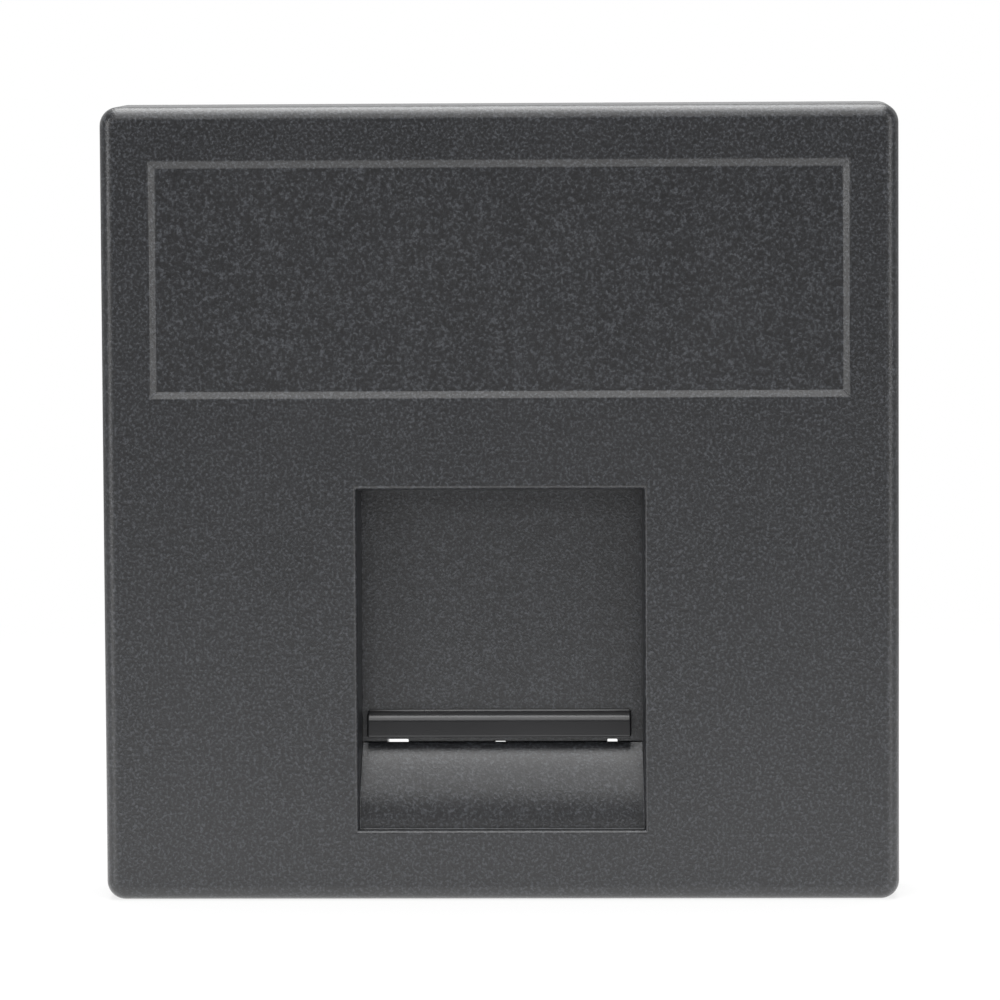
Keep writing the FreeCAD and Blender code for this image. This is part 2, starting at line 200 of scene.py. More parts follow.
@dataclass(frozen=True)
class SparkErodedPlastic:
    """Graphite PC/ABS moulded against a spark-eroded tool: a matt skin of pits and tips, the tips
    painted pale as glints.
    """

    name: str
    pit: str = "#0e0e10"
    base: str = "#18191c"
    tip: str = "#3c3e42"
    levels: Triple = (0.36, 0.50, 0.68)
    grain: float = 0.16 * MM
    cloud: float = 0.50 * MM
    cloud_share: float = 0.12
    relief: float = 0.020 * MM
    gloss: Pair = (0.32, 0.40)
    drift: float = 7.0 * MM

    def make(self) -> Material:
        """Builds the skin: clouded grain, dark pits, tips painted pale as glints, and a slow drift
        in the gloss.

        Returns:
            The material.
        """
        material, tree, place = new_material(self.name)
        # A real spark grain is about 0.02 mm; drawn coarser, so that it shows at arm's length.
        grain = add_node(tree, "ShaderNodeTexNoise", {
            "Vector": place, "Scale": 1 / self.grain, "Detail": 2.0, "Roughness": 0.6,
            "Distortion": 0.4,
        })
        cloud = add_node(tree, "ShaderNodeTexNoise", {
            "Vector": place, "Scale": 1 / self.cloud, "Detail": 3.0, "Roughness": 0.55,
        })
        height = add_node(tree, "ShaderNodeMix", {
            "Factor": self.cloud_share, "A": grain.outputs["Fac"], "B": cloud.outputs["Fac"],
        }, data_type="FLOAT").outputs["Result"]
        # The grain's height sets the tone: darker in the pits, and painted paler on the tips as
        # glints of the lamps on the grain's peaks.
        skin = add_node(tree, "ShaderNodeValToRGB", {"Fac": height})
        steps = skin.color_ramp.elements
        steps.new(self.levels[1])
        for step, level, tone in zip(steps, self.levels, (self.pit, self.base, self.tip)):
            step.position = level
            step.color = linear(tone)
        slow = add_node(tree, "ShaderNodeTexNoise", {
            "Vector": place, "Scale": 1 / self.drift, "Detail": 2.0,
        })
        relief = add_node(tree, "ShaderNodeBump", {
            "Height": height, "Strength": 1.0, "Distance": self.relief,
        })
        close_tree(tree, skin.outputs["Color"], slow.outputs["Fac"], self.gloss,
                   {"Normal": relief.outputs["Normal"], "IOR": PLASTIC_IOR})
        return material


@dataclass(frozen=True)
class PolishedPlastic:
    """ABS moulded against a polished tool: even, satin-smooth, with a faint flow in its gloss."""

    name: str
    base: str = "#121214"
    flow_tone: str = "#161618"
    gloss: Pair = (0.24, 0.33)
    flow: float = 1.6 * MM
    stretch: float = 4.0
    ripple: float = 0.002 * MM

    def make(self) -> Material:
        """Builds the skin, whose flow marks run along the width of the piece.

        Returns:
            The material.
        """
        material, tree, place = new_material(self.name)
        along = add_node(tree, "ShaderNodeMapping", {
            "Vector": place, "Scale": (1 / self.stretch, 1.0, 1.0),
        })
        flow = add_node(tree, "ShaderNodeTexNoise", {
            "Vector": along.outputs["Vector"], "Scale": 1 / self.flow, "Detail": 3.0,
        }).outputs["Fac"]
        colour = add_node(tree, "ShaderNodeMix", {
            "Factor": flow, "A": linear(self.base), "B": linear(self.flow_tone),
        }, data_type="RGBA")
        relief = add_node(tree, "ShaderNodeBump", {
            "Height": flow, "Strength": 1.0, "Distance": self.ripple,
        })
        close_tree(tree, colour.outputs["Result"], flow, self.gloss,
                   {"Normal": relief.outputs["Normal"], "IOR": PLASTIC_IOR})
        return material


@dataclass(frozen=True)
class DrawnSteel:
    """Spring steel drawn through a die: bright, with fine streaks along the wire."""

    name: str = "drawn spring steel wire"
    colour: str = "#b9bcc0"
    streak: str = "#8f9296"
    gloss: Pair = (0.20, 0.38)
    length: float = 0.25 * MM
    fineness: float = 8.0

    def make(self) -> Material:
        """Builds the material, with streaks that are short across the coil and long along it.

        Returns:
            The material.
        """
        material, tree, place = new_material(self.name)
        # Real die marks are a few micrometres wide; drawn at 0.03 mm, so that they show.
        across = add_node(tree, "ShaderNodeMapping", {
            "Vector": place, "Scale": (1.0, 1.0, self.fineness),
        })
        streaks = add_node(tree, "ShaderNodeTexNoise", {
            "Vector": across.outputs["Vector"], "Scale": 1 / self.length, "Detail": 3.0,
        }).outputs["Fac"]
        colour = add_node(tree, "ShaderNodeMix", {
            "Factor": streaks, "A": linear(self.colour), "B": linear(self.streak),
        }, data_type="RGBA")
        close_tree(tree, colour.outputs["Result"], streaks, self.gloss, {"Metallic": 1.0})
        return material


@dataclass(frozen=True)
class StudioPaper:
    """White paper sweep: matt, lifted to white where the lens sees it, with the shadow kept, and a
    painted pool of light in its reflections.
    """

    name: str = "white paper sweep"
    colour: str = "#f6f6f6"
    fibre: float = 0.4 * MM
    fibre_tone: float = 0.98
    lift: float = 0.82
    painted_pool_near: float = 1.85
    painted_pool_far: float = 0.4
    near: float = 0.07
    far: float = 0.16

    def make(self) -> Material:
        """Builds the material, which also shows white in reflections, with a painted pool of light
        near the object.

        Returns:
            The material.
        """
        material, tree, place = new_material(self.name)
        fibres = add_node(tree, "ShaderNodeTexNoise", {
            "Vector": place, "Scale": 1 / self.fibre, "Detail": 2.0,
        })
        tone = add_node(tree, "ShaderNodeMapRange", {
            "Value": fibres.outputs["Fac"], "To Min": self.fibre_tone, "To Max": 1.0,
        })
        colour = add_node(tree, "ShaderNodeMix", {
            "Factor": 1.0, "A": linear(self.colour), "B": tone.outputs["Result"],
        }, data_type="RGBA", blend_type="MULTIPLY")
        paper = add_node(tree, "ShaderNodeBsdfDiffuse", {"Color": colour.outputs["Result"]})
        # Away from the object the lamps fall off, so there the lens sees plain white. Gloss sees a
        # painted pool of light: near the object the floor glows brighter than white, and falls off
        # in front.
        reach = add_node(tree, "ShaderNodeVectorMath", {0: place}, operation="LENGTH")
        # The second range is the painted pool of light, which the floor emits only into gloss.
        fade, painted_pool_level = (
            add_node(tree, "ShaderNodeMapRange", {
                "Value": reach.outputs["Value"], "From Min": self.near, "From Max": self.far,
                "To Min": start, "To Max": end,
            }, interpolation_type="SMOOTHSTEP").outputs["Result"]
            for start, end in ((self.lift, 1.0), (self.painted_pool_near - 1.0, self.painted_pool_far - 1.0))
        )
        straight, mirrored = ray_tests(tree)
        level = add_node(tree, "ShaderNodeMath", {0: mirrored, 1: painted_pool_level, 2: 1.0},
                         operation="MULTIPLY_ADD")
        white = add_node(tree, "ShaderNodeEmission", {
            "Color": (1.0, 1.0, 1.0, 1.0), "Strength": level.outputs[0],
        })
        seen = add_node(tree, "ShaderNodeMath", {0: straight, 1: mirrored}, operation="ADD",
                        use_clamp=True)
        share = add_node(tree, "ShaderNodeMath", {0: seen.outputs[0], 1: fade},
                         operation="MULTIPLY")
        mixed = add_node(tree, "ShaderNodeMixShader", {
            0: share.outputs[0], 1: paper.outputs["BSDF"], 2: white.outputs["Emission"],
        })
        add_node(tree, "ShaderNodeOutputMaterial", {"Surface": mixed.outputs["Shader"]})
        # The white is only for the lens and for gloss, so no light is sampled from it.
        material.cycles.emission_sampling = "NONE"
        return material


def ray_tests(tree: Tree) -> tuple[Socket, Socket]:
    """Adds the tests for light that goes straight to the lens and for light seen in gloss.

    Args:
        tree: the node tree of a material or of the world.

    Returns:
        The sockets that are 1 for camera rays, and 1 for glossy and transmission rays.
    """
    path = add_node(tree, "ShaderNodeLightPath")
    mirrored = add_node(tree, "ShaderNodeMath", {
        0: path.outputs["Is Glossy Ray"], 1: path.outputs["Is Transmission Ray"],
    }, operation="ADD", use_clamp=True)
    return path.outputs["Is Camera Ray"], mirrored.outputs[0]


def direction(azimuth: float, elevation: float) -> Vector:
    """Gives the direction in which a lamp or the camera stands.

    Args:
        azimuth: degrees to the right of straight in front.
        elevation: degrees above level.

    Returns:
        The direction, of length 1.
    """
    around, above = math.radians(azimuth), math.radians(elevation)
    return Vector((math.sin(around) * math.cos(above), -math.cos(around) * math.cos(above),
                   math.sin(above)))


@dataclass
class StudioLamp:
    """A rectangular softbox that points at the faceplate."""

    name: str
    azimuth: float
    elevation: float
    width: float
    height: float
    power: float
    distance: float = 0.6

    def build(self, target: Vector) -> None:
        """Adds the lamp and turns it to the target.

        Args:
            target: the point that the lamp faces.
        """
        place = self.distance * direction(self.azimuth, self.elevation)
        light = bpy.data.lights.new(self.name, "AREA")
        light.shape = "RECTANGLE"
        light.size, light.size_y = self.width, self.height
        light.energy = self.power
        lamp = bpy.data.objects.new(self.name, light)
        bpy.context.scene.collection.objects.link(lamp)
        lamp.location = place
        lamp.rotation_euler = (target - place).to_track_quat("-Z", "Y").to_euler()
        LOG.info("lamp %s: %.2f W", self.name, self.power)


@dataclass
class Studio:
    """The paper floor, the softboxes and what gloss shows of the room."""

    floor_level: float
    floor_size: float = 6.0
    aim: Triple = (0.0, -7.5 * MM, 0.0)
    room_tone: str = "#ffffff"
    room_light: float = 0.0
    wall_edge: float = 0.2
    lamps: list[StudioLamp] = field(default_factory=lambda: [
        StudioLamp("left softbox", -50.0, 10.0, 0.15, 0.35, 1.35),
        StudioLamp("right softbox", 50.0, 10.0, 0.15, 0.35, 1.2),
        StudioLamp("overhead softbox, rear", 180.0, 65.0, 0.40, 0.20, 2.0),
        StudioLamp("overhead softbox", 0.0, 89.9, 0.40, 0.30, 2.6),
        StudioLamp("overhead softbox, front", 0.0, 65.0, 0.40, 0.20, 1.3),
        StudioLamp("front softbox", 0.0, 36.0, 0.40, 0.32, 1.1),
    ])

    def build(self) -> None:
        """Lays the floor, hangs the lamps and sets up the room."""
        self.lay_floor()
        for lamp in self.lamps:
            lamp.build(Vector(self.aim))
        self.light_room()

    def lay_floor(self) -> None:
        """Makes the paper floor at the level that the faceplate stands on."""
        sheet = bmesh.new()
        bmesh.ops.create_grid(sheet, x_segments=1, y_segments=1, size=self.floor_size / 2)
        bmesh.ops.translate(sheet, verts=sheet.verts, vec=(0.0, 0.0, self.floor_level))
        floor = finished(sheet, "paper_floor")
        floor.data.materials.append(StudioPaper().make())

    def light_room(self) -> None:
        """Shows white to the lens, and to gloss a white wall behind and a dark room in front."""
        world = bpy.data.worlds.new("white studio")
        world.use_nodes = True
        tree = world.node_tree
        tree.nodes.clear()
        straight, mirrored = ray_tests(tree)
        way = add_node(tree, "ShaderNodeSeparateXYZ", {
            "Vector": add_node(tree, "ShaderNodeTexCoord").outputs["Generated"],
        })
        wall = add_node(tree, "ShaderNodeMapRange", {
            "Value": way.outputs["Y"], "From Min": -self.wall_edge, "From Max": self.wall_edge,
            "To Min": self.room_light, "To Max": 1.0,
        })
        level = add_node(tree, "ShaderNodeMath", {
            0: mirrored, 1: wall.outputs["Result"], 2: straight,
        }, operation="MULTIPLY_ADD", use_clamp=True)
        room = add_node(tree, "ShaderNodeBackground", {
            "Color": linear(self.room_tone), "Strength": level.outputs[0],
        })
        add_node(tree, "ShaderNodeOutputWorld", {"Surface": room.outputs["Background"]})
        bpy.context.scene.world = world


@dataclass
class ProductCamera:
    """A long lens a little above and to the right of the plate's middle."""

    target: Triple = (0.006 * MM, -7.5 * MM, 0.268 * MM)
    distance: float = 365.4 * MM
    azimuth: float = 1.961
    elevation: float = 4.499
    roll: float = -0.332
    lens: float = 233.12
    sensor: float = 36.0
    clip: Pair = (0.01, 20.0)

    def build(self) -> None:
        """Adds the camera and makes it the scene's."""
        back = direction(self.azimuth, self.elevation)
        level_right = direction(self.azimuth + 90.0, 0.0)
        level_up = back.cross(level_right)
        turn = math.radians(self.roll)
        right = level_right * math.cos(turn) + level_up * math.sin(turn)
        up = level_up * math.cos(turn) - level_right * math.sin(turn)
        lens = bpy.data.cameras.new("product camera")
        lens.lens = self.lens
        lens.sensor_width = self.sensor
        lens.clip_start, lens.clip_end = self.clip
        camera = bpy.data.objects.new("product camera", lens)
        bpy.context.scene.collection.objects.link(camera)
        axes = Matrix((right, up, back)).transposed().to_4x4()
        axes.translation = Vector(self.target) + back * self.distance
        camera.matrix_world = axes
        bpy.context.scene.camera = camera


@dataclass
class SubAssembly:
    """What measures its depths from the plate's front face, and makes its solids there."""

    face: float

    def at(self, x: float, depth: float, z: float) -> Vector:
        """Turns millimetres across, behind the face and up into a place in metres."""
        return Vector((x * MM, self.face + depth * MM, z * MM))

    def block(self, x: Pair | list[float], depth: Pair, z: Pair) -> BMesh:
        """Makes a plain block.

        Args:
            x: left and right side.
            depth: front and back, behind the face.
            z: bottom and top.

        Returns:
            The block.
        """
        low, high = (self.at(*corner) for corner in zip(x, depth, z))
        solid = bmesh.new()
        bmesh.ops.create_cube(solid, size=1.0)
        bmesh.ops.scale(solid, verts=solid.verts, vec=high - low)
        bmesh.ops.translate(solid, verts=solid.verts, vec=(low + high) / 2)
        return solid

    def prism(self, outline: list[Pair], along: Along, reach: Pair) -> BMesh:
        """Draws an outline out into a prism.

        Args:
            outline: corners as (depth, z) along the width, or (x, depth) along the height.
            along: the direction that it is drawn out in.
            reach: where it starts and ends.

        Returns:
            The prism.
        """
        solid = bmesh.new()
        for first, second in outline:
            if along is Along.WIDTH:
                solid.verts.new(self.at(reach[0], first, second))
            else:
                solid.verts.new(self.at(first, second, reach[0]))
        draw_out(solid, solid.faces.new(solid.verts), along, reach)
        return solid

    def ribs(self, outline: list[Pair], levels: tuple[float, ...], half: float) -> list[BMesh]:
        """Makes prisms along the height, on the left and on the right.

        Args:
            outline: corners on the right, as (x, depth).
            levels: the middle of each prism.
            half: half of a prism's height.

        Returns:
            The prisms.
        """
        return [self.prism([(x * side.value, depth) for x, depth in outline], Along.HEIGHT,
                           (level - half, level + half))
                for side in (Side.RIGHT, Side.LEFT) for level in levels]

    def rod(self, x: float, z: float, radius: float, depth: Pair, nose: float = 0.0) -> BMesh:
        """Makes a round rod that points backwards.

        Args:
            x: centre.
            z: centre.
            radius: its radius.
            depth: front and back, behind the face.
            nose: size of the chamfer round its tip.

        Returns:
            The rod.
        """
        solid = bmesh.new()
        bmesh.ops.create_cone(solid, segments=32, radius1=radius * MM, radius2=radius * MM,
                              depth=(depth[1] - depth[0]) * MM, cap_ends=True)
        bmesh.ops.rotate(solid, verts=solid.verts, matrix=Matrix.Rotation(-math.pi / 2, 3, "X"))
        bmesh.ops.translate(solid, verts=solid.verts, vec=self.at(x, sum(depth) / 2, z))
        if nose:
            soften(solid, edges_on(solid, self.at(0, depth[1], 0).y, 1), nose, 1)
        return solid


class Moulding:
    """A moulded piece that is put together from simple solids, carved, and softened."""

    def __init__(self, name: str, solid: BMesh) -> None:
        """Starts from one solid.

        Args:
            name: the name of the finished piece.
            solid: the solid.
        """
        self.name = name
        self.mesh = solid

    def join(self, solids: list[BMesh]) -> None:
        """Welds solids onto the moulding."""
        self.combine(solids, "UNION")

    def carve(self, solids: list[BMesh]) -> None:
        """Takes solids out of the moulding."""
        self.combine(solids, "DIFFERENCE")

    def combine(self, solids: list[BMesh], how: str) -> None:
        """Welds or carves solids in one go, and frees them.

        Args:
            solids: the solids.
            how: the boolean operation's name.
        """
        body = finished(self.mesh, self.name)
        box = bpy.data.collections.new(self.name + "_tools")
        bpy.context.scene.collection.children.link(box)
        tools = [finished(solid, self.name + "_tool") for solid in solids]
        for tool in tools:
            bpy.context.scene.collection.objects.unlink(tool)
            box.objects.link(tool)
        step = body.modifiers.new(how, "BOOLEAN")
        step.operation = how
        step.solver = "EXACT"
        step.operand_type = "COLLECTION"
        step.collection = box
        bpy.context.view_layer.update()
        seen = body.evaluated_get(bpy.context.evaluated_depsgraph_get())
        made = bpy.data.meshes.new_from_object(seen)
        self.mesh = bmesh.new()
        self.mesh.from_mesh(made)
        bmesh.ops.remove_doubles(self.mesh, verts=self.mesh.verts, dist=SAME)
        bpy.data.meshes.remove(made)
        for item in tools + [body]:
            bpy.data.objects.remove(item)
        bpy.data.collections.remove(box)

    def soften_sharp(self, radius: float) -> None:
        """Rounds every edge that is left sharp, as the radii of a moulding tool do.

        Args:
            radius: its radius.
        """
        bmesh.ops.dissolve_limit(self.mesh, angle_limit=LEVEL, verts=self.mesh.verts,
                                 edges=self.mesh.edges)
        sharp = [edge for edge in self.mesh.edges
                 if edge.is_manifold and edge.calc_face_angle() > CREASE]
        soften(self.mesh, sharp, radius, 2)

    def release(self) -> Piece:
        """Takes the piece out of its tool: a finished object with level, smooth-shaded faces.

        Returns:
            The piece.
        """
        piece = finished(self.mesh, self.name)
        shade(piece)
        level = piece.modifiers.new("level faces", "WEIGHTED_NORMAL")
        level.weight, level.keep_sharp = 100, True
        return piece


def draw_out(solid: BMesh, face: BMFace, along: Along, reach: Pair) -> None:
    """Extrudes a lone face into a closed solid.

    Args:
        solid: the bmesh that holds the face.
        face: the face.
        along: the direction.
        reach: where it starts, which is where the face is, and where it ends.
    """
    drawn = bmesh.ops.extrude_face_region(solid, geom=[face], use_keep_orig=True)
    moved = [item for item in drawn["geom"] if isinstance(item, BMVert)]
    bmesh.ops.translate(solid, verts=moved, vec=along.value * (reach[1] - reach[0]) * MM)
    bmesh.ops.recalc_face_normals(solid, faces=solid.faces)


def soften(solid: BMesh, edges: list[BMEdge], radius: float, segments: int) -> None:
    """Rounds or chamfers edges.

    Args:
        solid: the bmesh that holds them.
        edges: the edges.
        radius: how far the round reaches from each edge.
        segments: 1 for a chamfer, more for a round.
    """
    bmesh.ops.bevel(solid, geom=edges, offset=radius * MM, offset_type="OFFSET",
                    segments=segments, profile=0.5, affect="EDGES", material=-1,
                    clamp_overlap=False, miter_outer="SHARP", miter_inner="SHARP")


def edges_along(solid: BMesh, along: Along) -> list[BMEdge]:
    """Finds the straight edges that run in one direction.

    Args:
        solid: the bmesh.
        along: the direction.

    Returns:
        The edges.
    """
    return [edge for edge in solid.edges
            if abs((edge.verts[1].co - edge.verts[0].co).normalized().dot(along.value)) > PARALLEL]


def edges_on(solid: BMesh, level: float, axis: int) -> list[BMEdge]:
    """Finds the edges that lie in one plane.

    Args:
        solid: the bmesh.
        level: where the plane is, in metres.
        axis: the axis that it is square to, 0 to 2.

    Returns:
        The edges.
    """
    return [edge for edge in solid.edges
            if all(abs(vert.co[axis] - level) < SAME for vert in edge.verts)]


def fill_holes(solid: BMesh) -> None:
    """Closes every hole in a bmesh with a face."""
    bmesh.ops.holes_fill(solid, edges=[edge for edge in solid.edges if edge.is_boundary])


def cut_off(solid: BMesh, place: Vector, way: Vector) -> None:
    """Cuts the end of a solid off level, and closes the cut.

    Args:
        solid: the bmesh.
        place: a point of the cut.
        way: from the cut to the end that goes.
    """
    bmesh.ops.bisect_plane(solid, geom=solid.verts[:] + solid.edges[:] + solid.faces[:],
                           plane_co=place, plane_no=way, clear_outer=True)
    fill_holes(solid)


@dataclass
class FrontPlate(SubAssembly):
    """The visible moulding: a rounded tray with the label field, the window and the fixings."""

    half: float = 22.5
    depth: float = 7.5
    corner: float = 1.05
    edge: float = 0.8
    wall: float = 2.0
    skirt: float = 1.8
    inner_corner: float = 0.6
    label: Quad = (-19.35, 19.35, 6.43, 19.03)
    label_depth: float = 0.22
    label_lean: float = 28.0
    label_round: float = 0.25
    window_half: float = 8.27
    window_round: float = 0.2
    window_bottom: float = -18.5
    window_top: float = 0.88
    window_draft: float = 5.6
    collar: float = 2.5
    collar_wall: float = 1.1
    ramp_top: float = -13.78
    ramp_foot: float = 0.6
    ramp_radius: float = 7.15
    ramp_back: float = 3.6
    ledge_wall: float = 1.2
    guide: Pair = (9.4, 10.6)
    guide_span: Pair = (-16.4, 15.0)
    carrier_seat: float = 5.0
    foot_level: float = -14.45
    foot_front: float = 2.3
    glide_ribs: Pair = (2.05, 5.7)
    glide_half: float = 0.4
    glide_top: float = 19.0
    side_ribs: Pair = (-13.6, 13.6)
    side_rise: float = 1.2
    rib_half: float = 0.45
    peg: Pair = (8.9, 17.6)
    peg_radius: float = 1.6
    pin_radius: float = 0.8
    pin_span: Pair = (4.5, 6.7)
    pin_nose: float = 0.25
    hook_levels: Pair = (-10.5, 9.5)
    hook_half: float = 2.0
    clip_half: float = 6.0
    gussets: Pair = (-4.0, 4.0)
    notch_half: float = 2.5
    notch_depth: float = 1.1
    fine_radius: float = 0.05

    def build(self) -> list[Piece]:
        """Moulds the plate and dresses it.

        Returns:
            The plate.
        """
        plate = Moulding("plate_moulding", self.shell())
        plate.carve([self.cavity(), self.label_field()])
        self.round_rim(plate, self.label, self.label_depth, self.fine_radius, 3)
        self.round_rim(plate, self.label, 0.0,
                       self.label_round * math.tan(math.radians(self.label_lean / 2)), 6)
        plate.join(self.guides() + self.fixings())
        plate.carve([self.window(), self.pry_notch()])
        self.round_rim(plate, (-self.window_half, self.window_half, self.window_bottom,
                               self.window_top), 0.0, self.window_round, 4)
        plate.join([self.ramp()])
        plate.soften_sharp(self.fine_radius)
        piece = plate.release()
        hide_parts("front_plate")
        dress(piece, Body.FACEPLATE,
              SparkErodedPlastic("spark-eroded graphite ABS, plate").make())
        return [piece]

    def shell(self) -> BMesh:
        """Rounds a block's four corners, then the whole rim of its face.

        Returns:
            The shell, still solid.
        """
        solid = self.block((-self.half, self.half), (0, self.depth), (-self.half, self.half))
        soften(solid, edges_along(solid, Along.DEPTH), self.corner, 10)
        soften(solid, edges_on(solid, self.at(0, 0, 0).y, 1), self.edge, 10)
        return solid

    def cavity(self) -> BMesh:
        """Makes the hollow behind the face.

        Returns:
            The hollow.
        """
        inner = self.half - self.skirt
        solid = self.block((-inner, inner), (self.wall, self.depth + PAST), (-inner, inner))
        soften(solid, edges_along(solid, Along.DEPTH), self.inner_corner, 6)
        return solid

    def label_field(self) -> BMesh:
        """Makes the sunk field's space, wider in front than at its floor.

        Returns:
            The space.
        """
        left, right, bottom, top = self.label
        solid = self.block((left, right), (-PAST, self.label_depth), (bottom, top))
        spread = (self.label_depth + PAST) / math.tan(math.radians(self.label_lean))
        middle = self.at((left + right) / 2, 0, (bottom + top) / 2)
        mouth = [vert for vert in solid.verts if vert.co.y < self.face]
        grow = (1 + 2 * spread / (right - left), 1, 1 + 2 * spread / (top - bottom))
        bmesh.ops.scale(solid, verts=mouth, vec=grow, space=Matrix.Translation(-middle))
        return solid

    def round_rim(self, plate: Moulding, opening: Quad, level: float, reach: float,
                  segments: int) -> None:
        """Rounds the line where the walls of a sunk field or window meet the face or floor.

        Args:
            plate: the moulding.
            opening: left, right, bottom and top of the field or window.
            level: depth of the line behind the face.
            reach: how far the round goes from the line.
            segments: steps of the round.
        """
        left, right, bottom, top = opening
        rim = []
        for edge in edges_on(plate.mesh, self.at(0, level, 0).y, 1):
            middle = (edge.verts[0].co + edge.verts[1].co) / 2 / MM
            if left - PAST < middle.x < right + PAST and bottom - PAST < middle.z < top + PAST:
                rim.append(edge)
        soften(plate.mesh, rim, reach, segments)

    def guides(self) -> list[BMesh]:
        """Makes the stepped guides, the shutter's feet, the glide ribs and the window's head.

        Returns:
            The solids.
        """
        inner, outer = self.guide
        under, start = self.window_half - PAST, self.wall - SUNK
        step = [(under, start), (outer, start), (outer, self.carrier_seat),
                (inner, self.carrier_seat), (inner, self.collar), (under, self.collar)]
        low, high = self.guide_span
        solids = self.ribs(step, ((low + high) / 2,), (high - low) / 2)
        for side in Side:
            foot = sorted((side.value * (inner - PAST), side.value * (inner + SUNK)))
            rib = sorted((side.value * (outer - SUNK), side.value * (self.half - PAST)))
            solids.append(self.block(foot, (self.foot_front, self.carrier_seat),
                                     (low, self.foot_level)))
            for centre in self.glide_ribs:
                middle = side.value * centre
                solids.append(self.block((middle - self.glide_half, middle + self.glide_half),
                                         (start, self.collar), (self.window_top, self.glide_top)))
            for level in self.side_ribs:
                solids.append(self.block(rib, (start, self.wall + self.side_rise),
                                         (level - self.rib_half, level + self.rib_half)))
        head = (self.window_top - self.collar_wall, self.window_top + self.collar_wall)
        return solids + [self.block((-inner, inner), (start, self.collar), head)]

    def fixings(self) -> list[BMesh]:
        """Makes the locating pegs, the carrier's hooks and the two frame clips.

        Returns:
            The solids.
        """
        start = self.wall - SUNK
        x, z = self.peg
        solids = [self.rod(side.value * x, z, *size) for side in Side
                  for size in ((self.peg_radius, (start, self.carrier_seat)),
                               (self.pin_radius, self.pin_span, self.pin_nose))]
        hook = [(11.15, start), (12.25, start), (12.25, 7.375), (11.35, 7.375),
                (10.55, 6.575), (10.55, 6.275), (11.15, 6.275)]
        clip = [(18.4, start), (19.9, start), (19.9, 10.3), (20.8, 10.45), (20.8, 10.7),
                (19.6, 12.6), (18.7, 12.6), (18.4, 12.3)]
        gusset = [(18.6, start), (18.6, 4.6), (18.4, 4.6), (16.9, self.wall), (16.9, start)]
        return (solids + self.ribs(hook, self.hook_levels, self.hook_half)
                + self.ribs(clip, (0.0,), self.clip_half)
                + self.ribs(gusset, self.gussets, self.rib_half))

    def window(self) -> BMesh:
        """Makes the window's space, narrower behind than in front.

        Returns:
            The space.
        """
        solid = self.block((-self.window_half, self.window_half), (-PAST, self.collar + PAST),
                           (self.window_bottom, self.window_top))
        lean = math.tan(math.radians(self.window_draft))
        for vert in solid.verts:
            depth = (vert.co.y - self.face) / MM
            inwards = -math.copysign(lean * depth, vert.co.x)
            vert.co.x += inwards * MM
            if vert.co.z > 0:
                vert.co.z -= lean * depth * MM
        return solid

    def pry_notch(self) -> BMesh:
        """Makes the notch in the lower rim for a flat blade.

        Returns:
            The space.
        """
        return self.block((-self.notch_half, self.notch_half),
                          (self.depth - self.notch_depth, self.depth + PAST),
                          (-self.half - PAST, -self.half + self.skirt + PAST))

    def ramp(self) -> BMesh:
        """Spins the convex ramp out of one point and backs it with the block behind it.

        Returns:
            The ramp and its block.
        """
        inner = self.guide[0]
        run, rise = self.collar - self.ramp_foot, self.ramp_top - self.window_bottom
        chord = math.hypot(run, rise)
        set_back = math.sqrt(self.ramp_radius ** 2 - chord ** 2 / 4)
        hub = self.at(-inner, (self.ramp_foot + self.collar) / 2 + set_back * rise / chord,
                      (self.window_bottom + self.ramp_top) / 2 - set_back * run / chord)
        solid = bmesh.new()
        foot = solid.verts.new(self.at(-inner, self.ramp_foot, self.window_bottom))
        sweep = 2 * math.asin(chord / 2 / self.ramp_radius)
        bmesh.ops.spin(solid, geom=[foot], cent=hub, axis=(-1, 0, 0), angle=sweep, steps=24)
        solid.verts.ensure_lookup_table()
        crest = max(solid.verts, key=lambda vert: vert.co.z)
        ledge, base = self.foot_level, self.window_bottom - self.collar_wall
        below = self.window_bottom - SUNK
        rest = [(self.collar, ledge), (self.ramp_back, ledge),
                (self.ramp_back, ledge - self.ledge_wall), (self.wall, base), (self.edge, base),
                (self.edge, below + self.ramp_foot - self.edge), (self.ramp_foot, below)]
        last = crest
        for depth, z in rest:
            following = solid.verts.new(self.at(-inner, depth, z))
            solid.edges.new((last, following))
            last = following
        solid.edges.new((last, foot))
        face = bmesh.ops.contextual_create(solid, geom=solid.edges[:])["faces"][0]
        draw_out(solid, face, Along.WIDTH, (-inner, inner))
        return solid


